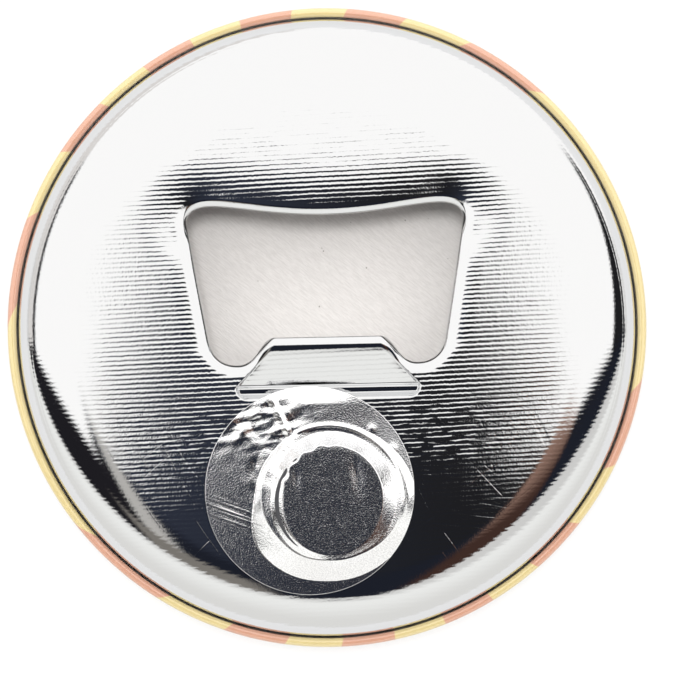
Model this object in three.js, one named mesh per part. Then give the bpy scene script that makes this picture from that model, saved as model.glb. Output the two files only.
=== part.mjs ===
// A souvenir bottle opener built like a button badge, 58 mm across, in millimetres.
// It lies on its domed, printed front: +Z comes out of the chromed opener back, and +Y runs from the magnet
// to the mouth. The origin is on the axis, where the front touches the table.
import * as THREE from "three";

const { degToRad, lerp, smoothstep } = THREE.MathUtils;

// The badge's front: clear film over printed paper over tinplate, crimped round the back as one.
const BADGE_RADIUS = 29;
const FILM = 0.06;
const PAPER = 0.12;
const TIN = 0.22;
const LAYER_GAP = 0.02;
const FLAT_RADIUS = 4; // the front's level centre
const FRONT_SLOPE = degToRad(6); // at the edge of the front's shallow dome
const ROLL_RADIUS = 2.2; // from the dome into the upright wall
const CRIMP_RADIUS = 0.5; // of the rim that turns in over the back
const CRIMP_HEIGHT = 3.7; // of the crimp's centre
const CRIMP_STEP = degToRad(40); // each layer turns in by whole steps, so that the layers nest
const CRIMP_STEPS = { film: 4, paper: 4, tin: 3 };

// The back: one pressed steel sheet with a dome, a wide shoulder, a tight edge and a flange under the crimp.
const SHEET = 0.5;
const DOME_RADIUS = 240; // of the sphere that the back's middle belongs to
const SHOULDER_START = 22.3; // distance from the axis where the dome turns into the shoulder
const EDGE_START = 27.2; // distance from the axis where the shoulder turns into the edge
const EDGE_SLOPE = degToRad(45); // of the sheet where the edge starts
const WALL_RADIUS = 27.9; // outside the upright wall that the edge ends in
const WALL_TOP = 4;
const FLANGE = { radius: 28.35, height: 3.5 };

// The mouth: right half of its outline, from the middle of its top edge round to the tongue's middle.
const TOP_MIDDLE = new THREE.Vector2(0, 10.1);
const CORNER_PEAK = new THREE.Vector2(10.3, 11);
const SIDE_TOP = new THREE.Vector2(12.35, 9.3);
const SIDE_FOOT = new THREE.Vector2(10.6, -0.9);
const LOBE_FOOT = new THREE.Vector2(8.1, -3.2);
const TONGUE_CORNER = new THREE.Vector2(4.7, -0.8);
const LIP = { width: 1.2, depth: 0.8 }; // drawn in round the mouth
const TONGUE_LIP = { width: 0.6, depth: 0.3 };

// The tongue: its free edge stands proud, and its root lies in a groove pressed across the sheet.
const TONGUE_LIFT = 0.7;
const GROOVE_DEPTH = 1.2;
const ROOT_DISTANCE = 4.3; // from the free edge back to the bottom of the groove
const GROOVE_END = 5.5; // from the free edge back to the groove's far side
const TONGUE_HALF_WIDTH = { tip: 4.1, root: 8.2 };
const GROOVE_BLEND = 1.2; // over which the tongue's sides run out into the dome

// The magnet, and the foil sticker that holds it down.
const MAGNET = { radius: 5, thickness: 1.5, distance: 15.4 }; // distance from the axis towards -Y
const FOIL = 0.1;
const FOIL_RADIUS = 9.35;
const FOIL_SHIFT = new THREE.Vector2(-1.85, 0.85); // of the sticker's rim from the magnet's axis
const GLUE_GAP = 0.03;

// Facets and rings
const ROUND_FACETS = 48;
const SHEET_FACETS = 96;
const FINE_RINGS = 8;
const FINE_RING_SHARE = 0.03; // of the way from the mouth to the shoulder, for each fine ring
const COARSE_RINGS = 3;
const SHOULDER_RINGS = 3;
const EDGE_RINGS = 2;

const finishes = {
  film: new THREE.MeshStandardMaterial({ color: 0xfff8e8, roughness: 0.08, metalness: 0 }),
  paper: new THREE.MeshStandardMaterial({ color: 0xf2dc8c, roughness: 0.8, metalness: 0 }),
  tin: new THREE.MeshStandardMaterial({ color: 0xdcd8d2, roughness: 0.45, metalness: 1 }),
  chrome: new THREE.MeshStandardMaterial({ color: 0xd8dade, roughness: 0.06, metalness: 1 }),
  ferrite: new THREE.MeshStandardMaterial({ color: 0x2b2b2d, roughness: 0.7, metalness: 0 }),
  foil: new THREE.MeshStandardMaterial({ color: 0xe2e4e8, roughness: 0.25, metalness: 1 }),
};

function named(name, geometry, material) {
  const mesh = new THREE.Mesh(geometry, material);
  mesh.name = name;
  return mesh;
}

// Points along an arc in a section, where x is the distance from the axis and y is the height.
// Angles are measured from straight out, and the arc's first point is left out.
function arcPoints(centre, radius, startAngle, endAngle, steps) {
  const points = [];
  for (let i = 1; i <= steps; i += 1) {
    const angle = lerp(startAngle, endAngle, i / steps);
    const reach = new THREE.Vector2(Math.cos(angle), Math.sin(angle)).multiplyScalar(radius);
    points.push(reach.add(centre));
  }
  return points;
}

// A solid of revolution about Z from a section given as distance from the axis and height.
function turned(section) {
  return new THREE.LatheGeometry(section, ROUND_FACETS).rotateX(Math.PI / 2);
}

// The badge's front in section, a given depth under the film's outer surface, from the axis to the crimp's end.
function frontSection(depth, crimpSteps) {
  const upright = Math.PI / 2;
  const domeEdge = BADGE_RADIUS - ROLL_RADIUS * (1 - Math.sin(FRONT_SLOPE));
  const domeRadius = (domeEdge - FLAT_RADIUS) / Math.sin(FRONT_SLOPE);
  const domeCentre = new THREE.Vector2(FLAT_RADIUS, domeRadius);
  const rollCentre = new THREE.Vector2(
    BADGE_RADIUS - ROLL_RADIUS,
    domeRadius - (domeRadius - ROLL_RADIUS) * Math.cos(FRONT_SLOPE),
  );
  const crimpCentre = new THREE.Vector2(BADGE_RADIUS - CRIMP_RADIUS, CRIMP_HEIGHT);
  return [
    new THREE.Vector2(0, depth),
    new THREE.Vector2(FLAT_RADIUS, depth),
    ...arcPoints(domeCentre, domeRadius - depth, -upright, FRONT_SLOPE - upright, 2),
    ...arcPoints(rollCentre, ROLL_RADIUS - depth, FRONT_SLOPE - upright, 0, 3),
    ...arcPoints(crimpCentre, CRIMP_RADIUS - depth, 0, crimpSteps * CRIMP_STEP, crimpSteps),
  ];
}

// One layer of the front, between two depths under the film's outer surface.
function frontLayer(depth, thickness, crimpSteps) {
  const outside = frontSection(depth, crimpSteps);
  const inside = frontSection(depth + thickness, crimpSteps);
  return turned([...outside, ...inside.reverse()]);
}

// The back's section from the shoulder's start to the flange's edge. One thickness along each point's normal
// lies the sheet's other face.
function backSection() {
  const upright = Math.PI / 2;
  const startSlope = Math.asin(SHOULDER_START / DOME_RADIUS);
  const edge = { radius: (WALL_RADIUS - EDGE_START) / (1 - Math.sin(EDGE_SLOPE)) };
  edge.centre = new THREE.Vector2(WALL_RADIUS - edge.radius, WALL_TOP);
  const shoulder = {
    radius: (EDGE_START - SHOULDER_START) / (Math.sin(EDGE_SLOPE) - Math.sin(startSlope)),
  };
  const edgeNormal = new THREE.Vector2(Math.sin(EDGE_SLOPE), Math.cos(EDGE_SLOPE));
  shoulder.centre = edge.centre.clone().addScaledVector(edgeNormal, edge.radius - shoulder.radius);
  const onArc = (arc, slope) => {
    const normal = new THREE.Vector2(Math.sin(slope), Math.cos(slope));
    return { point: arc.centre.clone().addScaledVector(normal, arc.radius), normal };
  };
  const section = [];
  for (let i = 0; i < SHOULDER_RINGS; i += 1) {
    section.push(onArc(shoulder, lerp(startSlope, EDGE_SLOPE, i / SHOULDER_RINGS)));
  }
  for (let i = 0; i <= EDGE_RINGS; i += 1) {
    section.push(onArc(edge, lerp(EDGE_SLOPE, upright, i / EDGE_RINGS)));
  }
  section.push({
    point: new THREE.Vector2(WALL_RADIUS, FLANGE.height),
    normal: new THREE.Vector2(1, 1),
  });
  section.push({
    point: new THREE.Vector2(FLANGE.radius, FLANGE.height),
    normal: new THREE.Vector2(0, 1),
  });
  return section;
}

const section = backSection();
const domeCentreHeight =
  section[0].point.y - Math.sqrt(DOME_RADIUS ** 2 - SHOULDER_START ** 2);

function domeHeight(x, y) {
  return domeCentreHeight + Math.sqrt(DOME_RADIUS ** 2 - x ** 2 - y ** 2);
}

// The mouth's outline as evenly spaced points, clockwise from the middle of its top edge.
function mouthOutline() {
  const half = new THREE.Path();
  half.moveTo(TOP_MIDDLE.x, TOP_MIDDLE.y);
  half.bezierCurveTo(4.5, TOP_MIDDLE.y, 8, CORNER_PEAK.y, CORNER_PEAK.x, CORNER_PEAK.y);
  half.bezierCurveTo(11.7, CORNER_PEAK.y, 12.55, 10.4, SIDE_TOP.x, SIDE_TOP.y);
  half.lineTo(SIDE_FOOT.x, SIDE_FOOT.y);
  half.bezierCurveTo(10.35, -2.4, 9.4, LOBE_FOOT.y, LOBE_FOOT.x, LOBE_FOOT.y);
  half.bezierCurveTo(6, LOBE_FOOT.y, 6.1, TONGUE_CORNER.y, TONGUE_CORNER.x, TONGUE_CORNER.y);
  half.lineTo(0, TONGUE_CORNER.y);
  const right = half.getSpacedPoints(SHEET_FACETS / 2);
  const left = right.slice(1, -1).reverse();
  return [...right, ...left.map((point) => new THREE.Vector2(-point.x, point.y))];
}

// How far the tongue and its groove lift the sheet off the dome at a place.
function tongueLift(x, y) {
  const back = TONGUE_CORNER.y - y;
  if (y > 0 || back > GROOVE_END) return 0; // above the mouth, or behind the groove
  const along = Math.max(back, 0) / ROOT_DISTANCE;
  const halfWidth = lerp(TONGUE_HALF_WIDTH.tip, TONGUE_HALF_WIDTH.root, Math.min(along, 1));
  const share = 1 - smoothstep(Math.abs(x), halfWidth, halfWidth + GROOVE_BLEND);
  const climb = (GROOVE_END - back) / (GROOVE_END - ROOT_DISTANCE);
  const height = along < 1 ? lerp(TONGUE_LIFT, -GROOVE_DEPTH, along) : -GROOVE_DEPTH * climb;
  return share * height;
}

// How far the drawn-in lip drops the sheet at a distance from the mouth's edge.
function lipDrop(lip, distance) {
  return lip.depth * Math.max(0, 1 - distance / lip.width) ** 2;
}

// A closed solid from rings of points that lie side by side, the last one joined to the first.
function ringSolid(rings) {
  const count = rings[0].length;
  const positions = rings.flat().flatMap((point) => [point.x, point.y, point.z]);
  const index = [];
  for (let j = 0; j < rings.length; j += 1) {
    for (let i = 0; i < count; i += 1) {
      const a = j * count + i;
      const b = j * count + ((i + 1) % count);
      const c = ((j + 1) % rings.length) * count + ((i + 1) % count);
      const d = ((j + 1) % rings.length) * count + i;
      index.push(a, c, d, a, b, c);
    }
  }
  const geometry = new THREE.BufferGeometry();
  geometry.setAttribute("position", new THREE.Float32BufferAttribute(positions, 3));
  geometry.setIndex(index);
  geometry.computeVertexNormals();
  return geometry;
}

// The sheet's outer surface and the surface one thickness under it, each as rings from mouth to flange.
function backPlate() {
  const mouth = mouthOutline();
  const upper = [];
  const lower = [];
  const fineShare = FINE_RINGS * FINE_RING_SHARE;
  for (let j = 0; j < FINE_RINGS + COARSE_RINGS; j += 1) {
    const coarse = Math.max(0, j - FINE_RINGS) / COARSE_RINGS;
    const share = Math.min(j, FINE_RINGS) * FINE_RING_SHARE + coarse * (1 - fineShare);
    const ring = mouth.map((edge, i) => {
      const angle = Math.PI / 2 - (2 * Math.PI * i) / SHEET_FACETS;
      const rim = new THREE.Vector2(Math.cos(angle), Math.sin(angle)).multiplyScalar(SHOULDER_START);
      const place = edge.clone().lerp(rim, share);
      const onTongue = Math.abs(edge.x) < LOBE_FOOT.x && edge.y < 0;
      const drop = lipDrop(onTongue ? TONGUE_LIP : LIP, place.distanceTo(edge));
      const height = domeHeight(place.x, place.y) + tongueLift(place.x, place.y) - drop;
      return new THREE.Vector3(place.x, place.y, height);
    });
    upper.push(ring);
    lower.push(ring.map((point) => new THREE.Vector3(point.x, point.y, point.z - SHEET)));
  }
  for (const { point, normal } of section) {
    const ringAt = (radius, height) =>
      mouth.map((_, i) => {
        const angle = Math.PI / 2 - (2 * Math.PI * i) / SHEET_FACETS;
        return new THREE.Vector3(radius * Math.cos(angle), radius * Math.sin(angle), height);
      });
    upper.push(ringAt(point.x, point.y));
    lower.push(ringAt(point.x - SHEET * normal.x, point.y - SHEET * normal.y));
  }
  return ringSolid([...upper, ...lower.reverse()]);
}

function magnetDisc() {
  const { radius, thickness } = MAGNET;
  return turned([
    new THREE.Vector2(0, GLUE_GAP),
    new THREE.Vector2(radius, GLUE_GAP),
    new THREE.Vector2(radius, GLUE_GAP + thickness),
    new THREE.Vector2(0, GLUE_GAP + thickness),
  ]);
}

// The sticker lies level on the magnet, falls off its edge like a tent, and lies on the dome round it.
function magnetFoil() {
  const top = MAGNET.thickness + 2 * GLUE_GAP + FOIL;
  const bend = MAGNET.radius + 0.2;
  const tent = new THREE.CubicBezierCurve(
    new THREE.Vector2(bend, top),
    new THREE.Vector2(bend + 0.7, 0.9 * top),
    new THREE.Vector2(bend + 0.9, 0.15 * top),
    new THREE.Vector2(FOIL_RADIUS - 1, GLUE_GAP + FOIL),
  );
  const outside = [
    new THREE.Vector2(0, top),
    ...tent.getPoints(6),
    new THREE.Vector2(FOIL_RADIUS, GLUE_GAP + FOIL),
  ];
  const inside = outside.map((point) => new THREE.Vector2(point.x, point.y - FOIL));
  const geometry = turned([...inside, ...outside.reverse()]);
  const places = geometry.getAttribute("position");
  for (let i = 0; i < places.count; i += 1) {
    const share = smoothstep(Math.hypot(places.getX(i), places.getY(i)), bend, FOIL_RADIUS);
    const x = places.getX(i) + share * FOIL_SHIFT.x;
    const y = places.getY(i) + share * FOIL_SHIFT.y;
    const fall = DOME_RADIUS - Math.sqrt(DOME_RADIUS ** 2 - x ** 2 - y ** 2);
    places.setXYZ(i, x, y, places.getZ(i) - share * fall);
  }
  geometry.computeVertexNormals();
  return geometry;
}

const group = new THREE.Group();

const paperDepth = FILM + LAYER_GAP;
const tinDepth = paperDepth + PAPER + LAYER_GAP;
group.add(named("clear_film", frontLayer(0, FILM, CRIMP_STEPS.film), finishes.film));
group.add(named("printed_disc", frontLayer(paperDepth, PAPER, CRIMP_STEPS.paper), finishes.paper));
group.add(named("front_shell", frontLayer(tinDepth, TIN, CRIMP_STEPS.tin), finishes.tin));
group.add(named("back_plate", backPlate(), finishes.chrome));

// The magnet and its sticker stand square on the dome, so their group turns about the dome's centre.
const magnetSeat = new THREE.Group();
magnetSeat.position.z = domeCentreHeight;
magnetSeat.rotation.x = Math.asin(MAGNET.distance / DOME_RADIUS);
const magnet = named("magnet", magnetDisc(), finishes.ferrite);
const foil = named("magnet_foil", magnetFoil(), finishes.foil);
magnet.position.z = DOME_RADIUS;
foil.position.z = DOME_RADIUS;
magnetSeat.add(magnet, foil);
group.add(magnetSeat);

export default group;
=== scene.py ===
import math

import bpy
import numpy as np
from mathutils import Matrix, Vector, kdtree


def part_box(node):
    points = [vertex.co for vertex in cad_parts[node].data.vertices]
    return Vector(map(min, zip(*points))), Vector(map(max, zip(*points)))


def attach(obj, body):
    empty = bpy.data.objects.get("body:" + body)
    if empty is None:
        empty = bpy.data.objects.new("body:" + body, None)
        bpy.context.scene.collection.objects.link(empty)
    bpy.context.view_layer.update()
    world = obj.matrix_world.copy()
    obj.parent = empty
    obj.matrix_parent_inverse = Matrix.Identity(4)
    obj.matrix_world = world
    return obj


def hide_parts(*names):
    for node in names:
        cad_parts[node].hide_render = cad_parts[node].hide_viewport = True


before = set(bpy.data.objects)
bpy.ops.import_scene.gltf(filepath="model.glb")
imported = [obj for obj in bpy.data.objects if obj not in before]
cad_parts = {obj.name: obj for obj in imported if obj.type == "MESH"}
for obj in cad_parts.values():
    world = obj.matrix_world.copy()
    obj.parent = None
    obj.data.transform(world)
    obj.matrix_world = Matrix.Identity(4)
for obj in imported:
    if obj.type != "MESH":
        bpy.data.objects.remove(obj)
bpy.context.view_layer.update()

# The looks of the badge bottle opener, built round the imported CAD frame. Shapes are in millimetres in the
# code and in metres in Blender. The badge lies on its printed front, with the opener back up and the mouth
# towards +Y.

MM = 0.001
UPRIGHT = math.pi / 2

# Sizes that the frame gives, as the low and high corners of the CAD's boxes.
film_high = np.array(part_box("clear_film")[1]) / MM
plate_high = np.array(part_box("back_plate")[1]) / MM
magnet_low, magnet_high = (np.array(corner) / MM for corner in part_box("magnet"))
foil_low, foil_high = (np.array(corner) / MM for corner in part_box("magnet_foil"))
MAGNET_Y = (magnet_low[1] + magnet_high[1]) / 2
FOIL_X = (foil_low[0] + foil_high[0]) / 2
FOIL_Y = (foil_low[1] + foil_high[1]) / 2
BADGE_RADIUS = film_high[0]
CRIMP_RADIUS = 0.5
CRIMP_HEIGHT = film_high[2] - CRIMP_RADIUS

# The front's layers, from the outside in.
FILM = 0.06
PAPER = 0.12
TIN = 0.22
LAYER_GAP = 0.02
FLAT_RADIUS = 4
FRONT_SLOPE = math.radians(6)
ROLL_RADIUS = 2.2
COVER_CRIMP = math.radians(160)  # how far round the film and the paper are rolled
SHELL_CRIMP = math.radians(120)

# The back's section. The crease is a fine line round the rim.
SHEET = 0.5
DOME_RADIUS = 240
SHOULDER_START = 22.3
EDGE_START = 27.2
EDGE_SLOPE = math.radians(45)
WALL_RADIUS = 27.9
WALL_TOP = 4
FLANGE_RADIUS = plate_high[0]
FLANGE_TOP = 3.5
CREASE_RADIUS = 26.65
CREASE_WIDTH = 0.06
CREASE_DEPTH = 0.003
CREASE_SLOPE = math.radians(39.7)  # of the section where the crease is
CREASE_REACH = 0.03  # radians of slope on either side of it, with closer points

# The mouth, its lip and the tongue. The ridge is where the tongue's lifted free edge turns down into its
# sloping face.
TOP_MIDDLE = (0, 10.1)
CORNER_PEAK = (10.3, 11)
SIDE_TOP = (12.35, 9.3)
SIDE_FOOT = (10.6, -0.9)
LOBE_FOOT = (8.1, -3.2)
TONGUE_CORNER = (4.7, -0.8)
RIDGE_LIFT = 0.8
RIDGE_DISTANCE = 0.76
RIDGE_SOFTNESS = 0.22
FACE_SLOPE = math.radians(24.9)
GROOVE_END = 5.5
FACE_HALF_WIDTH = 3.9
FACE_FLARE = 0.95
GROOVE_HALF_WIDTH = 8.05
GROOVE_CORNER = 1.0

# The magnet and its foil sticker.
MAGNET_RADIUS = 5
MAGNET_THICKNESS = 1.5
GLUE_GAP = 0.03
MAGNET_BEVEL = 0.2
FOIL = 0.1
FOIL_RADIUS = 9.35


# ---------------------------------------------------------------- meshes


def mesh_object(name, vertices, faces, look):
    mesh = bpy.data.meshes.new(name)
    mesh.from_pydata(vertices, [], faces)
    mesh.update()
    mesh.materials.append(look)
    made = bpy.data.objects.new(name, mesh)
    bpy.context.scene.collection.objects.link(made)
    return made


def solid(name, rings, look, replaced, tip=False):
    """A closed piece from rings of points in millimetres, the last ring joined to the first.
    With tip, the first and last rings are points on an axis, each made one vertex with a fan of faces."""
    rings = np.asarray(rings, float)
    count = rings.shape[1]
    inner = rings[1:-1] if tip else rings
    vertices = inner.reshape(-1, 3)
    rows = len(inner) - 1 if tip else len(inner)
    row, column = np.meshgrid(np.arange(rows), np.arange(count), indexing="ij")
    after = (column + 1) % count
    below = (row + 1) % len(inner)
    quads = np.stack(
        [row * count + column, row * count + after, below * count + after, below * count + column], -1
    ).reshape(-1, 4)
    faces = quads.tolist()
    if tip:
        vertices = np.vstack([vertices, rings[0, :1], rings[-1, :1]])
        first, last = len(vertices) - 2, len(vertices) - 1
        end = (len(inner) - 1) * count
        faces += [[first, (i + 1) % count, i] for i in range(count)]
        faces += [[last, end + i, end + (i + 1) % count] for i in range(count)]
    piece = mesh_object(name, (vertices * MM).tolist(), faces, look)
    mesh = piece.data
    if signed_volume(mesh) < 0:
        mesh.flip_normals()
    mesh.polygons.foreach_set("use_smooth", [True] * len(mesh.polygons))
    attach(piece, "root")
    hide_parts(replaced)
    return piece


def vertex_places(mesh):
    """The places of a mesh's vertices, in metres."""
    places = np.zeros(len(mesh.vertices) * 3)
    mesh.vertices.foreach_get("co", places)
    return places.reshape(-1, 3)


def signed_volume(mesh):
    """Six times the volume that the faces close in; negative if they face inwards."""
    mesh.calc_loop_triangles()
    triangles = np.zeros(len(mesh.loop_triangles) * 3, int)
    mesh.loop_triangles.foreach_get("vertices", triangles)
    a, b, c = vertex_places(mesh)[triangles.reshape(-1, 3)].transpose(1, 0, 2)
    return np.einsum("ij,ij->", a, np.cross(b, c))


def give_uv(mesh, name, pairs):
    """Writes a UV layer from one pair of numbers for each vertex."""
    corners = np.zeros(len(mesh.loops), int)
    mesh.loops.foreach_get("vertex_index", corners)
    layer = mesh.uv_layers.new(name=name)
    layer.data.foreach_set("uv", pairs[corners].ravel())


def nearest_point_tree(points):
    """A search tree over points in a plane."""
    tree = kdtree.KDTree(len(points))
    for i, (across, up) in enumerate(points):
        tree.insert((across, up, 0), i)
    tree.balance()
    return tree


def turned(section, count):
    """Rings of a solid of revolution from a section of (distance from the axis, height) points."""
    angle = np.linspace(0, 2 * math.pi, count, endpoint=False)
    section = np.asarray(section)
    x = section[:, :1] * np.cos(angle)
    y = section[:, :1] * np.sin(angle)
    z = np.repeat(section[:, 1:2], count, 1)
    return np.stack([x, y, z], -1)


def arc(centre, radius, start, end, steps):
    """Points along an arc in a section, after its first point; angles are measured from straight out."""
    angles = np.linspace(start, end, steps + 1)[1:]
    return [(centre[0] + radius * math.cos(a), centre[1] + radius * math.sin(a)) for a in angles]


def smoothstep(x, low, high):
    """Smoothly from 0 where x is low to 1 where it is high."""
    share = np.clip((x - low) / (high - low), 0, 1)
    return share * share * (3 - 2 * share)


def bell(x, middle, width):
    """1 at the middle, falling to 0 over a few widths."""
    return np.exp(-(((x - middle) / width) ** 2))


def blurred(values, reach, width, edges):
    """Evenly spaced values smoothed over a number of neighbours on either side."""
    kernel = np.exp(-0.5 * (np.arange(-reach, reach + 1) / width) ** 2)
    return np.convolve(np.pad(values, reach, edges), kernel / kernel.sum(), "valid")


# ---------------------------------------------------------------- node materials


class Nodes:
    """A short way to write a node tree: a call makes a node, sets or links its inputs, and gives it or its
    output back."""

    def __init__(self, tree):
        self.tree = tree
        tree.nodes.clear()

    def add(self, kind, inputs=None, **settings):
        made = self.tree.nodes.new(kind)
        for key, value in settings.items():
            setattr(made, key, value)
        for key, value in (inputs or {}).items():
            self.put(made.inputs[key], value)
        return made

    def put(self, socket, value):
        if isinstance(value, bpy.types.Node):
            value = value.outputs[0]
        if isinstance(value, bpy.types.NodeSocket):
            self.tree.links.new(value, socket)
        else:
            socket.default_value = value

    def math(self, operation, *values):
        """Arithmetic; MULTIPLY_ADD is the first value times the second plus the third."""
        made = self.tree.nodes.new("ShaderNodeMath")
        made.operation = operation
        for socket, value in zip(made.inputs, values):
            self.put(socket, value)
        return made.outputs[0]

    def step(self, value, low, high):
        """Smoothly from 0 where value is low to 1 where it is high."""
        made = self.add(
            "ShaderNodeMapRange",
            {"Value": value, "From Min": low, "From Max": high},
            interpolation_type="SMOOTHSTEP",
        )
        return made.outputs[0]

    def product(self, *values):
        total = values[0]
        for value in values[1:]:
            total = self.math("MULTIPLY", total, value)
        return total

    def less_by(self, share, amount):
        """1 where share is 0, and smaller by amount where it is 1."""
        return self.math("MULTIPLY_ADD", share, -amount, 1.0)

    def mix(self, share, first, second):
        made = self.add("ShaderNodeMix", data_type="RGBA")
        self.put(made.inputs[0], share)
        self.put(made.inputs[6], first)
        self.put(made.inputs[7], second)
        return made.outputs[2]

    def noise(self, place, scale, detail=2.0, roughness=0.5):
        """Noise, between 0 and 1 and mostly near 0.5. The scale is about the number of lumps in a metre."""
        return self.add(
            "ShaderNodeTexNoise",
            {"Vector": place, "Scale": scale, "Detail": detail, "Roughness": roughness},
        ).outputs[0]

    def turned(self, place, turn):
        return self.add("ShaderNodeMapping", {"Vector": place, "Rotation": (0, 0, turn)}).outputs[0]

    def stretched_noise(self, place, scales, detail=2.0, roughness=0.5, turn=0.0):
        """Noise with its own scale along each axis, after a turn about Z, for a grain that runs one way."""
        turned = self.turned(place, turn)
        stretched = self.add("ShaderNodeMapping", {"Vector": turned, "Scale": scales}).outputs[0]
        return self.noise(stretched, 1.0, detail, roughness)

    def bump(self, height, depth):
        """The surface's direction over a height map, where a height of 1 is as deep as depth, in metres."""
        return self.add("ShaderNodeBump", {"Height": height, "Strength": 1.0, "Distance": depth})


def material(name):
    made = bpy.data.materials.new(name)
    made.use_nodes = True
    return made, Nodes(made.node_tree)


def finish_with(nodes, shader):
    nodes.add("ShaderNodeOutputMaterial", {"Surface": shader})


def finish_plain(nodes, inputs):
    """Ends a material with a Principled shader that has these inputs."""
    finish_with(nodes, nodes.add("ShaderNodeBsdfPrincipled", inputs))


# The chrome's rolling lines, grit and scratches make one height map, in which 1 is LINE_DEPTH.
LINE_PITCH = 0.42 * MM
LINE_DEPTH = 0.0052 * MM
LINE_TURN = math.radians(-2)
SWAY = 1.2  # how far the lines wander, in pitches
RAGGED = 0.36  # and how ragged they are
GRIT_SCALE = 5200
GRIT_SHARE = 0.7
SCRATCHES = ((0.9, 230), (-0.5, 260), (1.7, 210), (2.5, 280))  # their turn, and their patches' noise scale
SCRATCH_WIDTH = 0.011  # as a difference in the noise that they follow

# Soft edges on the plate: the first place has none of what is named, and the second has all of it. The
# lines break up into dashes below the tongue. They are calm where the sheet is drawn smooth: towards the
# rim, towards the foot, and on the tongue's face. Most scratches are below the tongue.
BROKEN_Y = (-4 * MM, -11 * MM)
RIM_CALM = (19 * MM, 23.5 * MM)
FOOT_CALM = (-9 * MM, -18 * MM)
FACE_X = (8 * MM, 6 * MM)
FACE_TOP_Y = (-1.2 * MM, -2 * MM)
FACE_FOOT_Y = (-6.6 * MM, -6.1 * MM)
HANDLED_Y = (-7 * MM, -11 * MM)
HANDLED_RADIUS = (24 * MM, 22 * MM)


def rolling_lines(n, place, level, y):
    """A ragged wave across the sheet, mostly between -1 and 1."""
    sway = n.stretched_noise(place, (45, 110, 45), 1.0)
    ragged = n.stretched_noise(place, (3000, 1200, 900), 3.0, 0.65)
    row = n.math("MULTIPLY_ADD", y, 1 / LINE_PITCH, n.math("MULTIPLY", sway, SWAY))
    row = n.math("ADD", row, n.math("MULTIPLY", ragged, RAGGED))
    wave = n.math("SINE", n.math("MULTIPLY", row, 2 * math.pi))
    strength = n.stretched_noise(level, (300, 1900, 260))
    dashes = n.step(n.stretched_noise(level, (700, 2400, 700), 1.0), 0.38, 0.62)
    dashes = n.mix(n.step(y, *BROKEN_Y), (0.5, 0.5, 0.5, 1), dashes)
    wave = n.product(wave, n.math("MULTIPLY_ADD", strength, 0.9, 0.45))
    return n.product(wave, n.math("MULTIPLY_ADD", dashes, 1.1, 0.45))


def calmed(n, lines, x, y, from_axis):
    """The lines, fainter where pressing has drawn the sheet smooth."""
    rim = n.step(from_axis, *RIM_CALM)
    foot = n.step(y, *FOOT_CALM)
    face = n.product(n.step(y, *FACE_TOP_Y), n.step(y, *FACE_FOOT_Y))
    face = n.product(face, n.step(n.math("ABSOLUTE", x), *FACE_X), 0.7)
    drawn = n.math("MAXIMUM", n.math("MAXIMUM", rim, foot), face)
    lip_map = n.add("ShaderNodeUVMap", uv_map="Lip").outputs[0]
    lip = n.add("ShaderNodeSeparateXYZ", {"Vector": lip_map}).outputs[0]
    calm = n.product(n.less_by(drawn, 0.8), n.less_by(rim, 0.25), n.less_by(lip, 0.9))
    return n.product(lines, calm)


def scratched(n, height, place, y, from_axis):
    """The height with fine hairline scratches cut into it."""
    handled = n.product(n.step(y, *HANDLED_Y), n.step(from_axis, *HANDLED_RADIUS))
    depth = n.math("MULTIPLY_ADD", handled, 0.45, 0.07)
    for turn, patch_scale in SCRATCHES:
        drawn = n.stretched_noise(place, (420, 60, 60), 1.0, turn=turn)
        off_scratch = n.math("ABSOLUTE", n.math("SUBTRACT", drawn, 0.5))
        patch = n.step(n.noise(n.turned(place, turn), patch_scale, 1.0), 0.52, 0.6)
        scratch = n.product(n.step(off_scratch, SCRATCH_WIDTH, 0.0), patch, depth)
        height = n.math("SUBTRACT", height, scratch)
    return height


def chrome_material():
    """Bright chrome over a rolled sheet: ragged lines across it, fine grit and scratches."""
    made, n = material("chrome")
    place = n.add("ShaderNodeTexCoord").outputs["Object"]
    level = n.turned(place, LINE_TURN)
    x, y, _ = n.add("ShaderNodeSeparateXYZ", {"Vector": level}).outputs
    in_plan = n.add("ShaderNodeVectorMath", {0: place, 1: (1, 1, 0)}, operation="MULTIPLY")
    from_axis = n.add("ShaderNodeVectorMath", {0: in_plan}, operation="LENGTH").outputs["Value"]
    lines = calmed(n, rolling_lines(n, place, level, y), x, y, from_axis)
    height = n.math("MULTIPLY_ADD", n.noise(place, GRIT_SCALE, 3.0, 0.6), GRIT_SHARE, lines)
    height = scratched(n, height, place, y, from_axis)
    finish_plain(n, {
        "Base Color": (0.695, 0.7, 0.705, 1),
        "Metallic": 1.0,
        "Roughness": 0.04,
        "Normal": n.bump(height, LINE_DEPTH),
    })
    return made


BRUSH_TURN = math.radians(40)
BRUSH_SCALES = (1200, 9500, 1200)
BRUSH_DEPTH = 0.018 * MM


def tin_material():
    """Bare tinplate, matte, with fine diagonal brushing and a few specks."""
    made, n = material("tinplate")
    place = n.add("ShaderNodeTexCoord").outputs["Object"]
    brushed = n.stretched_noise(place, BRUSH_SCALES, 3.0, 0.65, BRUSH_TURN)
    height = n.math("MULTIPLY_ADD", n.noise(place, 5000), 0.4, brushed)
    tone = n.mix(n.step(brushed, 0.3, 0.7), (0.82, 0.79, 0.765, 1), (0.93, 0.9, 0.875, 1))
    speck = n.step(n.noise(place, 1400), 0.74, 0.78)
    finish_plain(n, {
        "Base Color": n.mix(speck, tone, (0.4, 0.37, 0.34, 1)),
        "Metallic": 0.3,
        "Roughness": n.math("MULTIPLY_ADD", brushed, 0.2, 0.35),
        "Normal": n.bump(height, BRUSH_DEPTH),
    })
    return made


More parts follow.
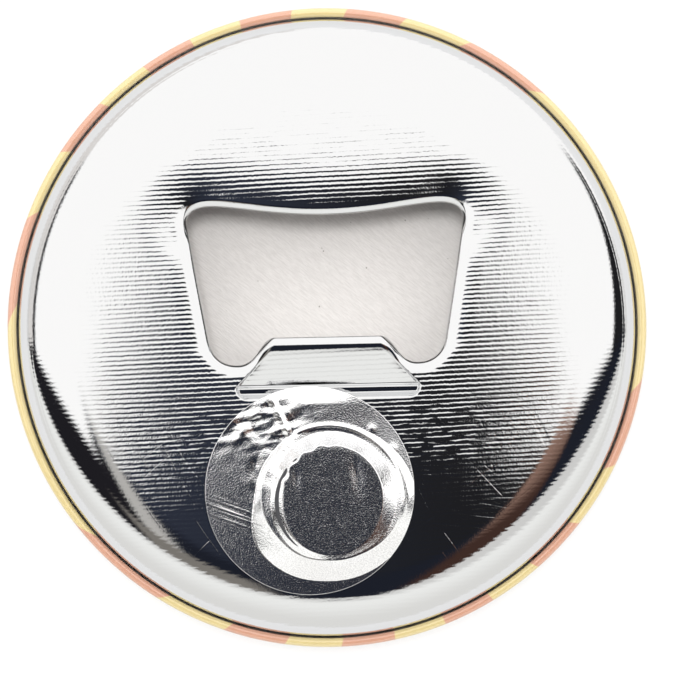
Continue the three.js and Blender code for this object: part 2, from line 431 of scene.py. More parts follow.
# The printed stripes: their slant, and their width and ends as shares of the flat print's radius.
STRIPE_TURN = math.radians(17.7)
STRIPE_WIDTH = 0.161
FIRST_STRIPE = 0.855
LAST_STRIPE = -0.916


def print_material():
    """Paper printed with plain slanting stripes, its gloss that of the film pressed on it."""
    made, n = material("print")
    art = n.add("ShaderNodeUVMap", uv_map="Artwork").outputs[0]
    x, y, _ = n.add("ShaderNodeSeparateXYZ", {"Vector": art}).outputs
    across = n.math("MULTIPLY", x, math.cos(STRIPE_TURN))
    across = n.math("ADD", across, n.math("MULTIPLY", y, math.sin(STRIPE_TURN)))
    index = n.math("FLOOR", n.math("DIVIDE", n.math("SUBTRACT", FIRST_STRIPE, across), STRIPE_WIDTH))
    even = n.math("SUBTRACT", 1.0, n.math("FLOORED_MODULO", index, 2.0))
    first, last = n.math("LESS_THAN", across, FIRST_STRIPE), n.math("GREATER_THAN", across, LAST_STRIPE)
    finish_plain(n, {
        "Base Color": n.mix(n.product(even, first, last), (0.74, 0.62, 0.31, 1), (0.66, 0.36, 0.255, 1)),
        "Roughness": 0.55,
        "Coat Weight": 0.5,
        "Coat Roughness": 0.06,
    })
    return made


def film_material():
    """Clear polyester: see-through, with gloss that grows towards its edges."""
    made, n = material("film")
    gloss = n.add("ShaderNodeBsdfAnisotropic", {"Color": (1, 1, 1, 1), "Roughness": 0.08})
    clear = n.add("ShaderNodeBsdfTransparent", {"Color": (1, 0.995, 0.985, 1)})
    edge = n.add("ShaderNodeLayerWeight", {"Blend": 0.5}).outputs["Facing"]
    share = n.math("MULTIPLY_ADD", n.math("POWER", edge, 5.0), 0.3, 0.04)
    finish_with(n, n.add("ShaderNodeMixShader", {0: share, 1: clear, 2: gloss}))
    return made


FOIL_GRAIN = 9000
FOIL_GRAIN_DEPTH = 0.015 * MM


def foil_material():
    """Thin bright aluminium foil with a fine matte grain."""
    made, n = material("foil")
    place = n.add("ShaderNodeTexCoord").outputs["Object"]
    grain = n.noise(place, FOIL_GRAIN, 1.0)
    finish_plain(n, {
        "Base Color": n.mix(n.step(grain, 0.35, 0.65), (0.84, 0.84, 0.845, 1), (0.97, 0.97, 0.975, 1)),
        "Metallic": 1.0,
        "Roughness": 0.13,
        "Normal": n.bump(grain, FOIL_GRAIN_DEPTH),
    })
    return made


def ferrite_material():
    """The magnet's dark, sintered surface, matte and grainy."""
    made, n = material("ferrite")
    place = n.add("ShaderNodeTexCoord").outputs["Object"]
    finish_plain(n, {
        "Base Color": (0.05, 0.05, 0.055, 1),
        "Roughness": 0.7,
        "Normal": n.bump(n.noise(place, 4000, 4.0), 0.01 * MM),
    })
    return made


# ---------------------------------------------------------------- the front's layers


# How finely the front is divided: along each arc of its section, and round the axis.
DOME_STEPS = 24
ROLL_STEPS = 16
CRIMP_STEPS = 20
FRONT_COUNT = 256


def front_section(depth, crimp_angle):
    """The front's section a depth under the film's outer surface, from the axis to the crimp's end."""
    dome_edge = BADGE_RADIUS - ROLL_RADIUS * (1 - math.sin(FRONT_SLOPE))
    dome = (dome_edge - FLAT_RADIUS) / math.sin(FRONT_SLOPE)
    roll_centre = (BADGE_RADIUS - ROLL_RADIUS, dome - (dome - ROLL_RADIUS) * math.cos(FRONT_SLOPE))
    crimp_centre = (BADGE_RADIUS - CRIMP_RADIUS, CRIMP_HEIGHT)
    return np.array(
        [(0, depth), (FLAT_RADIUS, depth)]
        + arc((FLAT_RADIUS, dome), dome - depth, -UPRIGHT, FRONT_SLOPE - UPRIGHT, DOME_STEPS)
        + arc(roll_centre, ROLL_RADIUS - depth, FRONT_SLOPE - UPRIGHT, 0, ROLL_STEPS)
        + arc(crimp_centre, CRIMP_RADIUS - depth, 0, crimp_angle, CRIMP_STEPS)
    )


def front_layer(name, depth, thickness, crimp_angle, look, node):
    outside = front_section(depth, crimp_angle)
    inside = front_section(depth + thickness, crimp_angle)
    section = np.vstack([outside, inside[::-1]])
    piece = solid(name, turned(section, FRONT_COUNT), look, node, tip=True)
    return piece, outside


def map_artwork(piece, section):
    """Gives each point its place on the flat print, in shares of the print's radius, measured along the
    section."""
    steps = np.hypot(*np.diff(section, axis=0).T)
    along = np.concatenate([[0], np.cumsum(steps)])
    places = vertex_places(piece.data) / MM
    tree = nearest_point_tree(section)
    radius = np.hypot(places[:, 0], places[:, 1])
    nearest = [tree.find((r, z, 0))[1] for r, z in zip(radius, places[:, 2])]
    flat = along[nearest] / along[-1]
    art = places[:, :2] / np.maximum(radius, 1e-6)[:, None] * flat[:, None]
    give_uv(piece.data, "Artwork", art)


def make_front():
    paper_depth = FILM + LAYER_GAP
    tin_depth = paper_depth + PAPER + LAYER_GAP
    front_layer("clear_film_skin", 0, FILM, COVER_CRIMP, film_material(), "clear_film")
    paper, section = front_layer(
        "printed_disc_skin", paper_depth, PAPER, COVER_CRIMP, print_material(), "printed_disc"
    )
    map_artwork(paper, section)
    front_layer("front_shell_skin", tin_depth, TIN, SHELL_CRIMP, tin_material(), "front_shell")


# ---------------------------------------------------------------- the back plate


def bezier(points, steps):
    """Points along a cubic curve, after its first point."""
    t = np.linspace(0, 1, steps + 1)[1:, None]
    a, b, c, d = (np.array(p, float) for p in points)
    return (1 - t) ** 3 * a + 3 * (1 - t) ** 2 * t * b + 3 * (1 - t) * t**2 * c + t**3 * d


def mouth_outline(count):
    """The mouth's outline as count evenly spaced points, clockwise from the middle of its top edge."""
    steps = 200
    top, peak, lobe, tongue = TOP_MIDDLE[1], CORNER_PEAK[1], LOBE_FOOT[1], TONGUE_CORNER[1]
    half = np.vstack(
        [
            [TOP_MIDDLE],
            bezier([TOP_MIDDLE, (4.5, top), (8, peak), CORNER_PEAK], steps),
            bezier([CORNER_PEAK, (11.7, peak), (12.55, 10.4), SIDE_TOP], steps),
            [SIDE_FOOT],
            bezier([SIDE_FOOT, (10.35, -2.4), (9.4, lobe), LOBE_FOOT], steps),
            bezier([LOBE_FOOT, (6, lobe), (6.1, tongue), TONGUE_CORNER], steps),
            [(0, tongue)],
        ]
    )
    along = np.concatenate([[0], np.cumsum(np.hypot(*np.diff(half, axis=0).T))])
    even = np.linspace(0, along[-1], count // 2 + 1)
    right = np.column_stack([np.interp(even, along, half[:, i]) for i in range(2)])
    left = right[1:-1][::-1] * (-1, 1)
    return np.vstack([right, left])


WALL_SLOPE = math.radians(82)  # where the rounded edge meets the wall

# The section's end, under the crimp: points of the wall's foot and the flange, and rough outward normals.
WALL_FOOT = (
    ((WALL_RADIUS + 0.01, 4.1), (0.9, 0.3)),
    ((WALL_RADIUS + 0.05, 3.97), (0.7, 0.6)),
    ((WALL_RADIUS + 0.07, 3.9), (0.9, 0.2)),
    ((WALL_RADIUS + 0.07, FLANGE_TOP), (1, 1)),
    ((FLANGE_RADIUS, FLANGE_TOP), (0, 1)),
)


def back_section():
    """The back's section from the shoulder's start down to the flange, as points and outward normals."""
    start = math.asin(SHOULDER_START / DOME_RADIUS)
    edge = (WALL_RADIUS - EDGE_START) / (1 - math.sin(EDGE_SLOPE))
    edge_centre = np.array([WALL_RADIUS - edge, WALL_TOP])
    shoulder = (EDGE_START - SHOULDER_START) / (math.sin(EDGE_SLOPE) - math.sin(start))
    shoulder_centre = edge_centre + (edge - shoulder) * np.array([math.sin(EDGE_SLOPE), math.cos(EDGE_SLOPE)])
    before, past = CREASE_SLOPE - CREASE_REACH, CREASE_SLOPE + CREASE_REACH
    points, normals = [], []
    for centre, radius, slopes in (
        (shoulder_centre, shoulder, np.linspace(start, before, 26)[:-1]),
        (shoulder_centre, shoulder, np.linspace(before, past, 13)[:-1]),
        (shoulder_centre, shoulder, np.linspace(past, EDGE_SLOPE, 5)[:-1]),
        (edge_centre, edge, np.linspace(EDGE_SLOPE, WALL_SLOPE, 11)),
    ):
        for slope in slopes:
            normal = np.array([math.sin(slope), math.cos(slope)])
            points.append(centre + radius * normal)
            normals.append(normal)
    for point, normal in WALL_FOOT:
        points.append(np.array(point))
        normals.append(np.array(normal))
    return np.array(points), np.array(normals)


SECTION, SECTION_NORMALS = back_section()
DOME_CENTRE = SECTION[0, 1] - math.sqrt(DOME_RADIUS**2 - SHOULDER_START**2)


# Behind the tongue's root the sheet climbs out of the groove over a narrow ledge: distance back from the
# groove's end, and height.
ROOT_RISE = [
    (-1.5, -1.4),
    (-1.26, -0.9),
    (-0.96, -0.6),
    (-0.46, -0.68),
    (-0.08, -0.1),
    (0.05, -0.02),
    (2.4, 0),
]
RISE_STEP = 0.01
FLANK_REACH = (0.8, 1.7)  # how far beside the groove the raised tongue's flank runs out
GROOVE_FLANK = 0.16
LEVEL_SOFTNESS = 0.12
TONGUE_LIP_REACH = (1.5, 2.6)


def root_rise(distance):
    """The height of the rise behind the tongue's root, its corners a little rounded."""
    table = np.arange(-3, 4, RISE_STEP)
    return np.interp(distance, table, blurred(np.interp(table, *zip(*ROOT_RISE)), 30, 3, "edge"))


def groove_lift(x, back):
    """How far the tongue and its groove lift the sheet, by the distance back from the tongue's free edge, and
    how much of the tongue's own lip the place has. What stands over the dome runs out slowly beside the
    groove, and what is pressed under it ends at the groove's edge."""
    half_width = np.minimum(FACE_HALF_WIDTH + FACE_FLARE * np.maximum(back, 0), GROOVE_HALF_WIDTH)
    beside = np.maximum(np.abs(x) - half_width + GROOVE_CORNER, 0)
    behind = np.maximum(back - GROOVE_END + GROOVE_CORNER, 0)
    outside = np.hypot(beside, behind) - GROOVE_CORNER
    ridge = RIDGE_SOFTNESS * np.logaddexp(0, (back - RIDGE_DISTANCE) / RIDGE_SOFTNESS)
    face = RIDGE_LIFT - math.tan(FACE_SLOPE) * ridge
    raised = LEVEL_SOFTNESS * np.logaddexp(0, face / LEVEL_SOFTNESS)
    pressed = np.maximum(face, root_rise(back - GROOVE_END)) - raised
    share = 1 - smoothstep(outside, *FLANK_REACH)
    lift = raised * share + pressed * (1 - smoothstep(outside, 0, GROOVE_FLANK))
    return lift * (back > 0), share * (1 - smoothstep(back, *TONGUE_LIP_REACH))


def rolled(distance, knots):
    """The drop towards an edge, by the distance from it. The knots pair distances with slopes in degrees."""
    step = 0.01
    table = np.arange(0, 6, step)
    slope = np.tan(np.radians(np.interp(table, *zip(*knots))))
    drop = np.cumsum(slope[::-1])[::-1] * step
    return np.interp(distance, table, drop, right=0)


# The slope of each part of the mouth's lip, in degrees, by the distance from the mouth's edge.
TOP_LIP = [(0, 80), (0.05, 60), (0.09, 33), (0.51, 26), (0.69, 7.5), (1.5, 6.5), (2.8, 3.6), (4.6, 0)]
SIDE_LIP = [(0, 80), (0.05, 62), (0.08, 46), (0.34, 30), (0.4, 22), (1.05, 8.5), (1.6, 2.5), (2.4, 0)]
TONGUE_LIP = [(0, 75), (0.04, 50), (0.12, 43), (0.34, 36), (0.6, 18), (0.85, 0)]
TOP_REACH = (5.2, 10.1)  # between these values of y the side's lip turns into the top's
CORNER_DROP = 0.11  # how much lower the sheet is pressed round the mouth's upper corners
CORNER_DROP_REACH = 4.5
TIGHTER_CORNER = 1.1  # how much narrower the lip is at the mouth's upper corners
TIGHTER_LOBE = 0.7  # and at its lower ones


def pressed_height(x, y, distance):
    """Height of the sheet's outer face inside the shoulder, from the distance to the mouth's edge."""
    dome = DOME_CENTRE + np.sqrt(DOME_RADIUS**2 - x**2 - y**2)
    back = TONGUE_CORNER[1] - y
    lift, share = groove_lift(x, back)
    top = smoothstep(y, *TOP_REACH)
    tight = TIGHTER_CORNER * bell(np.abs(x), 12.7, 0.9) * bell(y, 9.6, 1.1)
    sides = rolled(distance * (1 + TIGHTER_LOBE * smoothstep(back, 0.5, 2) + tight), SIDE_LIP)
    upper = rolled(distance * (1 + tight), TOP_LIP)
    near = np.clip(1 - distance / CORNER_DROP_REACH, 0, 1) ** 2
    upper = upper + CORNER_DROP * bell(np.abs(x), 11.6, 2.6) * near
    front = rolled(distance, TONGUE_LIP)
    tongue = share * (back > -1)
    drop = (top * upper + (1 - top) * sides) * (1 - tongue) + front * tongue
    return dome + lift - drop


PLATE_COUNT = 720
LIP_RINGS = 38
GROOVE_RINGS = 46
DOME_RINGS = 30
LIP_REACH = 2.2  # of the rings that follow the mouth's edge
GROOVE_REACH = 6.2  # of the next, still fine rings
GROOVE_ROWS = (-4.05, -6.65)  # between these the rings run level behind the tongue, along its groove
BEHIND_TONGUE = (8.3, 10.2)  # where, to either side of the middle, the level rings turn into the others
LIP_MASK = (0.75, 1.15)  # the rolling lines are drawn smooth nearer to the mouth than this
UNDER_STEP = 8  # one ring in so many is enough for the sheet's hidden underside


def plate_rings(mouth, rim):
    """Places in plan from the mouth's outline out to the shoulder's start, closest together at the lip."""
    way = rim - mouth
    reach = np.hypot(*way.T)
    way = way / reach[:, None]
    edge_way = np.roll(mouth, -1, 0) - np.roll(mouth, 1, 0)
    edge_way = edge_way / np.hypot(*edge_way.T)[:, None]
    straight = np.clip(np.abs(way[:, 0] * edge_way[:, 1] - way[:, 1] * edge_way[:, 0]), 0.6, 1)
    by_tongue = (1 - smoothstep(np.abs(mouth[:, 0]), *BEHIND_TONGUE)) * (mouth[:, 1] < 0)
    fall = np.maximum(-way[:, 1], 0.5)
    lip_end = LIP_REACH / straight * (1 - by_tongue) + (mouth[:, 1] - GROOVE_ROWS[0]) / fall * by_tongue
    groove_reach = np.minimum(GROOVE_REACH, 0.6 * reach) * (1 - by_tongue)
    groove_reach = groove_reach + (mouth[:, 1] - GROOVE_ROWS[1]) / fall * by_tongue
    groove_reach = np.maximum(groove_reach, lip_end + 0.5)
    runs = [np.outer(np.linspace(0, 1, LIP_RINGS, endpoint=False) ** 1.3, lip_end)]
    for start, end, steps in ((lip_end, groove_reach, GROOVE_RINGS), (groove_reach, reach, DOME_RINGS)):
        runs.append(start + np.linspace(0, 1, steps, endpoint=False)[:, None] * (end - start))
    out = np.concatenate(runs)
    return mouth + way * out[:, :, None]


def make_plate():
    angle = UPRIGHT - np.linspace(0, 2 * math.pi, PLATE_COUNT, endpoint=False)
    ring = np.column_stack([np.cos(angle), np.sin(angle)])
    places = plate_rings(mouth_outline(PLATE_COUNT), SHOULDER_START * ring)
    flat = places.reshape(-1, 2)
    tree = nearest_point_tree(mouth_outline(PLATE_COUNT * 8))
    distance = np.array([tree.find((x, y, 0))[2] for x, y in flat])
    height = pressed_height(flat[:, 0], flat[:, 1], distance)
    inner = np.column_stack([flat, height]).reshape(len(places), PLATE_COUNT, 3)
    crease = CREASE_DEPTH * bell(SECTION[:, 0], CREASE_RADIUS, CREASE_WIDTH)
    upper = SECTION - SECTION_NORMALS * crease[:, None]
    lower = SECTION - SHEET * SECTION_NORMALS
    outer_top = [np.column_stack([ring * r, np.full(PLATE_COUNT, z)]) for r, z in upper]
    outer_low = [np.column_stack([ring * r, np.full(PLATE_COUNT, z)]) for r, z in lower]
    under = inner[::UNDER_STEP] - (0, 0, SHEET)
    rings = [*inner, *outer_top, *outer_low[::-1], *under[::-1]]
    plate = solid("back_plate_sheet", rings, chrome_material(), "back_plate")
    closeness = np.zeros(len(plate.data.vertices))
    closeness[: len(distance)] = 1 - smoothstep(distance, *LIP_MASK)
    give_uv(plate.data, "Lip", np.column_stack([closeness, closeness]))


# ---------------------------------------------------------------- the magnet and its foil


def on_dome(points):
    """Points whose z is a height over the dome's tangent plane at the magnet, put in their place."""
    turn = math.asin(-MAGNET_Y / DOME_RADIUS)
    x, y, z = points[..., 0], points[..., 1], points[..., 2] + DOME_RADIUS
    turned_y = y * math.cos(turn) - z * math.sin(turn)
    turned_z = y * math.sin(turn) + z * math.cos(turn)
    return np.stack([x, turned_y, turned_z + DOME_CENTRE], -1)


MAGNET_COUNT = 128
BEVEL_STEPS = 5


def make_magnet():
    top = GLUE_GAP + MAGNET_THICKNESS
    side = MAGNET_RADIUS - MAGNET_BEVEL
    section = (
        [(0, GLUE_GAP)]
        + arc((side, GLUE_GAP + MAGNET_BEVEL), MAGNET_BEVEL, -UPRIGHT, 0, BEVEL_STEPS)
        + arc((side, top - MAGNET_BEVEL), MAGNET_BEVEL, 0, UPRIGHT, BEVEL_STEPS)
        + [(0, top)]
    )
    rings = on_dome(turned(section, MAGNET_COUNT))
    solid("magnet_disc", rings, ferrite_material(), "magnet", tip=True)


def folded(x, y, cell, seed, count=9):
    """Crumpled facets, mostly between -0.5 and 0.5: the mean of a few tent-shaped folds that cross."""
    dice = np.random.default_rng(seed)
    total = np.zeros_like(x)
    for turn, phase, size in zip(
        dice.uniform(0, math.pi, count), dice.uniform(0, 1, count), dice.uniform(0.7, 1.6, count)
    ):
        along = (x * math.cos(turn) + y * math.sin(turn)) / (cell * size) + phase
        total += (np.abs(2 * (along - np.floor(along + 0.5))) - 0.5) * size
    return total / count


# The foil's pull-down round the magnet, by the angle from +X in degrees. top is where the flat top ends, step
# where the first step down ends, share the part of the whole height that it takes, shelf the width of the
# shelf below it, foot where the skirt ends, and lift how high its foot stays.
SKIRT = {
    "angle": [-180, -165, -150, -120, -95, -60, -30, 0, 30, 60, 90, 115, 140, 160, 180],
    "top": [4.3, 4.35, 4.45, 4.65, 4.7, 4.7, 4.6, 4.65, 4.9, 5.1, 5.15, 5.0, 4.7, 4.45, 4.3],
    "step": [5.3, 5.35, 5.4, 5.4, 5.1, 5.2, 5.6, 5.9, 6.05, 6.15, 6.2, 6.1, 5.7, 5.4, 5.3],
    "share": [0.3, 0.3, 0.32, 0.25, 0.05, 0.08, 0.15, 0.4, 0.8, 0.95, 1, 0.95, 0.6, 0.35, 0.3],
    "shelf": [0.9, 0.6, 0.25, 0.12, 0.08, 0.15, 0.35, 0.5, 0.6, 0.45, 0.35, 0.4, 0.6, 1.0, 0.9],
    "foot": [6.7, 7.3, 7.85, 7.6, 7.2, 7.25, 7.4, 7.7, 7.4, 7.0, 6.9, 6.9, 6.7, 6.75, 6.7],
    "lift": [0, 0, 0, 0, 0, 0.05, 0.25, 0.42, 0.2, 0, 0, 0, 0, 0, 0],
}


def skirt(key, angle):
    """A value of the skirt at an angle, with the corners between its knots smoothed away."""
    table = np.arange(-180, 180)
    value = blurred(np.interp(table, SKIRT["angle"], SKIRT[key]), 24, 7, "wrap")
    return np.interp(angle, table, value, period=360)


SCALLOP_DEPTH = 0.12  # of the flat top's wavy edge at the upper left
SCALLOPS = 19  # in a full turn
RIDGE_RADIUS = 6.75  # of the raised ring that runs outside the magnet, at its top and right
RIDGE_SHIFT = 0.15
RIDGE_WIDTH = 0.2
RIDGE_HEIGHT = 0.1


def pulled_down(radius, angle):
    """The foil without its creases: flat over the magnet, then down a step, a shelf and a skirt."""
    top, step, share, shelf, foot, lift = (skirt(key, angle) for key in list(SKIRT)[1:])
    scallop = SCALLOP_DEPTH * np.sin(np.radians(angle) * SCALLOPS)
    top = top + scallop * smoothstep(angle, 75, 95) * (1 - smoothstep(angle, 150, 165))
    first = np.clip((radius - top) / (step - top), 0, 1)
    second = np.clip((radius - step - shelf) / (foot - step - shelf), 0, 1)
    peak = MAGNET_THICKNESS + 2 * GLUE_GAP
    height = peak - (peak - GLUE_GAP - lift) * (share * first + (1 - share) * second)
    ridge = bell(radius, RIDGE_RADIUS - RIDGE_SHIFT * np.cos(np.radians(angle)), RIDGE_WIDTH)
    return height + RIDGE_HEIGHT * ridge * smoothstep(angle, -20, 10) * (1 - smoothstep(angle, 112, 125))


CRUMPLED_MIDDLE = (-6.4, 7.1)
CRUMPLED_SIZE = (3.4, 2.1)
CRUMPLE_TILT = math.radians(20)
CRUMPLE_STRETCH = 2.2
CRUMPLE_CELL = 1.15
CRUMPLE_HEIGHT = 0.5
FOLD_MIDDLE = (-5.2, 9.4)  # a place on the long fold, and the direction across it
FOLD_NORMAL = (0.907, 0.42)
FOLD_WIDTH = 0.45
FOLD_HEIGHT = 0.16


def crumpled_corner(x, y, radius):
    """The crumpled part beside the groove's left end, with the long fold through it."""
    place = bell(x, CRUMPLED_MIDDLE[0], CRUMPLED_SIZE[0]) * bell(y, CRUMPLED_MIDDLE[1], CRUMPLED_SIZE[1])
    place = np.clip(1.3 * place, 0, 1) * smoothstep(radius, 5.6, 7.2)
    tilt = CRUMPLE_TILT
    lengthwise = (x * math.cos(tilt) + y * math.sin(tilt)) / CRUMPLE_STRETCH
    crosswise = y * math.cos(tilt) - x * math.sin(tilt)
    crumples = CRUMPLE_HEIGHT * place * folded(lengthwise, crosswise, CRUMPLE_CELL, 5)
    off_fold = np.abs((x - FOLD_MIDDLE[0]) * FOLD_NORMAL[0] + (y - FOLD_MIDDLE[1]) * FOLD_NORMAL[1])
    fold = np.clip(1 - off_fold / FOLD_WIDTH, 0, 1) * smoothstep(y, 5.4, 6.4)
    return crumples + FOLD_HEIGHT * fold * (np.abs(x + 4.3) < 2)


STREAK_TILT = math.radians(-20)
STREAK_SHIFT = 3.9
STREAK_HEIGHT = 0.011


def fan_of_streaks(x, y):
    """The fine streaks that run in from the foil's left edge."""
    across = y * math.cos(STREAK_TILT) - x * math.sin(STREAK_TILT) + STREAK_SHIFT
    streaks = np.sin(across * 15) + np.sin(across * 23.4 + 1) + np.sin(across * 8.3 + 2 + 0.7 * x)
    return STREAK_HEIGHT * streaks * bell(across, 0, 0.95) * bell(x, -9.0, 1.9) * (x < -5)


LOOSE_CELL = 1.9
LOOSE_HEIGHT = 0.26
SLACK_CELL = 3.1
SLACK_HEIGHT = 0.03


def loose_folds(x, y, radius):
    """Where the foil lies loose: folds round the magnet's upper left, and slacker ones further out."""
    left = smoothstep(-x, 1.5, 4.5) * (0.12 + 0.88 * smoothstep(y, 0.5, 4.0))
    loose = smoothstep(radius, 4.9, 5.5) * (1 - smoothstep(radius, 7.2, 8.4))
    folds = LOOSE_HEIGHT * folded(x, y, LOOSE_CELL, 8) * loose * (0.02 + 0.98 * left)
    slack = smoothstep(radius, 7.4, 8.4) * (0.2 + 0.8 * left) * smoothstep(y, 0, 4)
    return folds + SLACK_HEIGHT * folded(x, y, SLACK_CELL, 4) * slack


SAG = 0.42  # of the top edge, which hangs into the tongue's groove
BUMPS = ((3.8, 6.4), (5.7, 4.6))
BUMP_HEIGHT = 0.05
BUMP_SPREAD = 0.12  # the square of its width
LONG_DENT = 0.045  # two shallow dents in the flat top
SHORT_DENT = 0.03


def foil_height(x, y):
    """The foil's lower face over the dome, from the magnet's centre: flat top, pulled-down skirt, creases."""
    radius = np.hypot(x, y)
    height = pulled_down(radius, np.degrees(np.arctan2(y, x)))
    height = height + crumpled_corner(x, y, radius)
    height = height - SAG * smoothstep(y, 8.6, 10.4) * bell(x, -1.6, 3.0)
    height = height + fan_of_streaks(x, y)
    height = height + loose_folds(x, y, radius)
    for bump_x, bump_y in BUMPS:
        height = height + BUMP_HEIGHT * np.exp(-((x - bump_x) ** 2 + (y - bump_y) ** 2) / BUMP_SPREAD)
    dents = LONG_DENT * bell(x + 0.14 * (y - 2), 2.45, 0.42) * bell(y, 2.3, 1.5)
    dents += SHORT_DENT * bell(x, -3.0, 0.3) * bell(y, 2.2, 0.8)
    return height - dents * (radius < 5.2)


FOIL_COUNT = 512
FOIL_TOP = 4.6  # the rings are closer together from here outwards
SKIRT_END = 7.6


def make_foil():
    top = np.linspace(0, FOIL_TOP, 30)
    side = np.linspace(FOIL_TOP, SKIRT_END, 64)[1:]
    edge = np.linspace(SKIRT_END, FOIL_RADIUS, 40)[1:]
    reach = np.concatenate([top, side, edge])
    angle = np.linspace(0, 2 * math.pi, FOIL_COUNT, endpoint=False)
    x = reach[:, None] * np.cos(angle)
    y = reach[:, None] * np.sin(angle)
    share = smoothstep(reach, 5.0, FOIL_RADIUS)[:, None]
    x = x + share * FOIL_X
    y = y + share * (FOIL_Y - MAGNET_Y)
    fall = DOME_RADIUS - np.sqrt(DOME_RADIUS**2 - x**2 - y**2)
    over = smoothstep(np.hypot(x, y), FOIL_TOP, 6)
    lower = foil_height(x, y) - over * fall
    outside = np.stack([x, y, lower + FOIL], -1)
    inside = np.stack([x, y, lower], -1)
    rings = np.concatenate([inside[:-1:4], inside[-1:], outside[::-1]])
    solid("magnet_foil_sheet", on_dome(rings), foil_material(), "magnet_foil", tip=True)


# ---------------------------------------------------------------- studio


FLOOR_SIZE = 20.0  # half its width, in metres


def make_floor():
    made, n = material("floor_white")
    finish_plain(n, {
        "Base Color": (0.17, 0.17, 0.17, 1),
        "Roughness": 0.9,
        "Emission Color": (1, 1, 1, 1),
        "Emission Strength": 0.82,
    })
    corners = [(x * FLOOR_SIZE, y * FLOOR_SIZE, 0) for x, y in ((-1, -1), (1, -1), (1, 1), (-1, 1))]
    floor = mesh_object("floor", corners, [(0, 1, 2, 3)], made)


# The studio's soft edges are pairs of angles in degrees: from the first, where there is none, to the second.
BEHIND = (0.2, 3)
RIGHT_PANEL = {"edge": (8.5, 12.5), "run": (16, 34), "drop": 6.0}
LEFT_PANEL = {"edge": (-8.5, -12.5), "run": (-18, -34), "drop": 10.0}
PANEL_FOOT = -7.0  # along, and lower by the panel's drop past its run
RIGHT_GAP_START = 65.5  # across, and further by the gap's shift towards +Y
RIGHT_GAP_SHIFT = 12.0
LEFT_GAP = (-75, -77)
LEFT_GAP_END = (-81, -79)
TABLE_EDGE = -44.5  # along, and higher by the table's slant on the right
TABLE_SLANT = 11.0
STRIP_CENTRE = -12.7  # across, where along is 0
STRIP_SLANT = 0.46

PANEL_WHITE = (1.36, 1.345, 1.33, 1)
WARM_WHITE = (0.97, 0.93, 0.9, 1)
TABLE_WHITE = (1.17, 1.17, 1.14, 1)
TABLE_FAR = (0.99, 0.98, 0.95, 1)
TABLE_RIM = (0.86, 0.85, 0.83, 1)
SLATE = (0.036, 0.043, 0.066, 1)
DEEP_SLATE = (0.017, 0.02, 0.031, 1)
BLACK = (0.018, 0.018, 0.02, 1)
LEFT_BLACK = (0.018, 0.017, 0.021, 1)
BROWN = (0.36, 0.22, 0.17, 1)
DARK_BROWN = (0.07, 0.036, 0.028, 1)
STRIP_GREY = (0.62, 0.6, 0.57, 1)
STRIP_SHADE = (0.28, 0.25, 0.22, 1)
FOOT_GREY = (0.27, 0.25, 0.225, 1)


class Way:
    """The direction in which the studio is seen: its parts x and y, and its angles in degrees. across and
    along are measured from straight up, towards +X and +Y. polar is the whole angle from straight up, and
    side is the bearing from +X."""

    def __init__(self, n):
        seen = n.add("ShaderNodeTexCoord").outputs["Generated"]
        self.x, self.y, z = n.add("ShaderNodeSeparateXYZ", {"Vector": seen}).outputs

        def degrees(value):
            return n.math("MULTIPLY", value, 180 / math.pi)

        self.across = degrees(n.math("ARCTAN2", self.x, z))
        self.along = degrees(n.math("ARCTAN2", self.y, z))
        self.polar = degrees(n.math("ARCCOSINE", z))
        self.side = degrees(n.math("ARCTAN2", self.y, self.x))


def side_panel(n, way, edge, run, drop):
    """A panel on one side: past its edge, and above its foot, which slopes down along its run."""
    foot = n.math("MULTIPLY_ADD", n.step(way.across, *run), -drop, PANEL_FOOT)
    above = n.step(n.math("SUBTRACT", way.along, foot), -2.0, 2.0)
    return n.product(n.step(way.across, *edge), above)


def lit_share(n, way):
    """Where the white panels show, between the dark gaps at their far edges."""
    sides = n.math("MAXIMUM", side_panel(n, way, **LEFT_PANEL), side_panel(n, way, **RIGHT_PANEL))
    panels = n.math("MAXIMUM", n.step(way.along, *BEHIND), sides)
    start = n.math("MULTIPLY_ADD", n.step(way.side, -12, 30), RIGHT_GAP_SHIFT, RIGHT_GAP_START)
    right = n.product(
        n.step(n.math("SUBTRACT", way.across, start), -1.5, 1.5),
        n.step(way.side, 38, 30),
        n.step(way.polar, 87, 84),
    )
    left = n.product(n.step(way.across, *LEFT_GAP), n.step(way.across, *LEFT_GAP_END))
    left = n.product(left, n.step(way.y, 0.62, 0.5))
    return n.product(panels, n.math("SUBTRACT", 1.0, n.math("MAXIMUM", right, left)))


def dark_tone(n, way):
    """The room between the panels: slate on the left and black on the right, with a few things in it."""
    along, across = way.along, way.across
    tone = n.mix(n.step(way.x, -0.2, 0.15), SLATE, BLACK)
    tone = n.mix(n.step(along, -9, -24), tone, DEEP_SLATE)
    tone = n.mix(n.step(across, -20, -26), tone, LEFT_BLACK)
    wood = n.product(n.step(across, 12, 16), n.step(across, 36, 30), n.step(along, -5, -9))
    tone = n.mix(wood, tone, n.mix(n.step(along, -9, -26), BROWN, DARK_BROWN))
    centre = n.math("MULTIPLY_ADD", along, STRIP_SLANT, STRIP_CENTRE)
    off_strip = n.math("ABSOLUTE", n.math("SUBTRACT", across, centre))
    strip = n.product(n.step(off_strip, 5, 2.5), n.step(along, -5, -8), n.step(across, -8, -12))
    tone = n.mix(strip, tone, n.mix(n.step(along, -30, -40), STRIP_GREY, STRIP_SHADE))
    foot = n.product(n.step(along, -30, -35), n.step(across, -9, -15), n.step(across, -42, -36))
    return n.mix(foot, tone, FOOT_GREY)


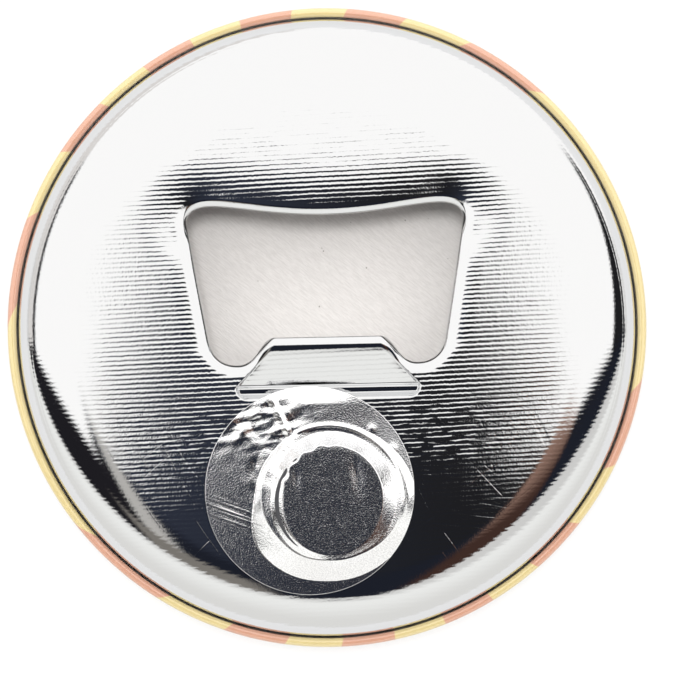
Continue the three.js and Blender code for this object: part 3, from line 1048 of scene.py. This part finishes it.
def table_share(n, way):
    """Where the white table shows: in front, past its edge, and low down there and at the sides."""
    edge = n.math("MULTIPLY_ADD", n.step(way.across, 8, 38), TABLE_SLANT, TABLE_EDGE)
    front = n.product(n.step(n.math("SUBTRACT", way.along, edge), 1.2, -1.2), n.step(way.y, 0.0, -0.05))
    low = n.product(n.step(way.polar, 86, 89), n.step(way.y, 0.4, 0.2))
    return n.math("MAXIMUM", front, low)


def make_world():
    """A white studio: panels left, right and behind, a dark gap overhead and in front, and a white table."""
    world = bpy.data.worlds.new("studio")
    bpy.context.scene.world = world
    world.use_nodes = True
    n = Nodes(world.node_tree)
    way = Way(n)
    white = n.mix(n.step(way.across, -76, -80), PANEL_WHITE, WARM_WHITE)
    room = n.mix(lit_share(n, way), dark_tone(n, way), white)
    table = n.mix(n.step(way.along, -50, -80), TABLE_WHITE, TABLE_FAR)
    table = n.mix(n.step(way.along, -44, -52), TABLE_RIM, table)
    colour = n.mix(table_share(n, way), room, table)
    background = n.add("ShaderNodeBackground", {"Color": colour, "Strength": 1.0})
    n.add("ShaderNodeOutputWorld", {"Surface": background})


LIGHT_PLACE = (-0.02, 0.12, 0.8)  # in metres
LIGHT_SIZE = 0.16
LIGHT_POWER = 3.4


def make_light():
    """A softbox high above the camera. Mirrors don't see it, so the panels alone draw the reflections."""
    light = bpy.data.objects.new("softbox", bpy.data.lights.new("softbox", "AREA"))
    bpy.context.scene.collection.objects.link(light)
    light.data.shape = "DISK"
    light.data.size = LIGHT_SIZE
    light.data.energy = LIGHT_POWER
    light.location = LIGHT_PLACE
    light.rotation_euler = Vector(LIGHT_PLACE).to_track_quat("Z", "Y").to_euler()
    light.visible_glossy = False
    light.visible_camera = False


LENS = 200  # and the sensor's width, both in millimetres
SENSOR = 36
FRAME_SHARE = 0.9162857  # of the frame's width that the badge takes
OFFSET = (-0.032857143, 0.032)  # of the badge's centre from the frame's, in frame widths
ROLL = math.radians(-1.2)


def make_camera():
    camera = bpy.data.objects.new("camera", bpy.data.cameras.new("camera"))
    bpy.context.scene.collection.objects.link(camera)
    camera.data.lens = LENS
    camera.data.sensor_width = SENSOR
    width = 2 * BADGE_RADIUS * MM / FRAME_SHARE
    distance = width * LENS / SENSOR
    camera.location = (0, 0, film_high[2] * MM + distance)
    camera.rotation_euler = (0, 0, ROLL)
    camera.data.shift_x = -OFFSET[0]
    camera.data.shift_y = -OFFSET[1]
    camera.data.clip_start = 0.01
    camera.data.clip_end = 10
    bpy.context.scene.camera = camera


make_camera()
make_world()
make_light()
make_floor()
make_front()
make_plate()
make_magnet()
make_foil()
bpy.context.scene.view_settings.view_transform = "Standard"
